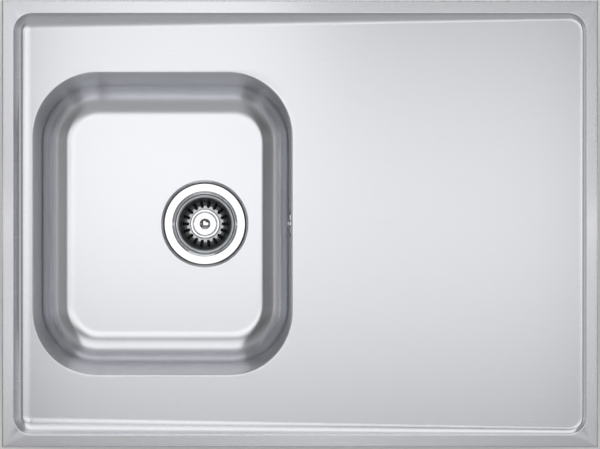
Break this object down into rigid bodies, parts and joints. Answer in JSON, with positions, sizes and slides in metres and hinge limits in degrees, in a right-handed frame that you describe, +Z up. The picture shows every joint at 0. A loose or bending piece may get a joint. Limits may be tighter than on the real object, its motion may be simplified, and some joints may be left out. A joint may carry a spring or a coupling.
{
  "type": "kitchen sink with drainboard",
  "caption": "Lay-on stainless kitchen sink: drawn bowl at the left, recessed drainboard sloping to it, basket strainer waste with a lifting plunger, and an overflow.",
  "frame": {"origin": "centre of the footprint, in the plane where the folded rim rests on the cabinet", "axes": "+X to the right over the drainboard, +Y to the back, +Z up"},
  "size_m": [0.8, 0.6, 0.262],
  "materials": {
    "stainless_deck": "brushed stainless sheet, grain along the length",
    "stainless_bowl": "satin deep-drawn stainless",
    "polished_stainless": "polished stainless",
    "pressed_stainless": "bright pressed stainless",
    "galvanised_steel": "zinc plated steel",
    "moulded_polypropylene": "moulded white polypropylene",
    "hub_acetal": "moulded black acetal",
    "seal_rubber": "moulded black rubber",
    "brass": "turned brass",
    "damping_felt": "bonded sound-damping sheet"
  },
  "bodies": {
    "sink": {"deck_sheet": "stainless_deck", "sink_bowl": "stainless_bowl", "deck_channels": "galvanised_steel", "deck_damping_pads": "damping_felt", "bowl_damping_pad": "damping_felt", "hook_brackets": "galvanised_steel", "strainer_cup": "polished_stainless", "flange_seal": "seal_rubber", "body_seal": "seal_rubber", "waste_body": "moulded_polypropylene", "screw_insert": "brass", "clamp_screw": "polished_stainless", "overflow_rosette": "polished_stainless", "overflow_screw": "polished_stainless", "overflow_seal": "seal_rubber", "overflow_elbow": "moulded_polypropylene", "overflow_pipe": "moulded_polypropylene", "union_nuts": "moulded_polypropylene", "union_seals": "seal_rubber"},
    "basket": {"strainer_basket": "pressed_stainless", "basket_hub": "hub_acetal"},
    "stopper": {"stopper_plate": "pressed_stainless", "stopper_seal": "seal_rubber", "stopper_washer": "pressed_stainless"},
    "knob": {"basket_knob": "polished_stainless", "knob_button": "polished_stainless", "plunger_post": "polished_stainless", "post_nut": "polished_stainless"}
  },
  "joints": [
    {"name": "basket_lift", "type": "slide", "parent": "sink", "child": "basket", "axis": [0, 0, 1], "range_m": [0, 0.25]},
    {"name": "plunger_pull", "type": "slide", "parent": "basket", "child": "stopper", "axis": [0, 0, 1], "range_m": [0, 0.006]},
    {"name": "knob_turn", "type": "hinge", "parent": "stopper", "child": "knob", "pos_m": [-0.132, 0, -0.117], "axis": [0, 0, 1], "continuous": true}
  ]
}
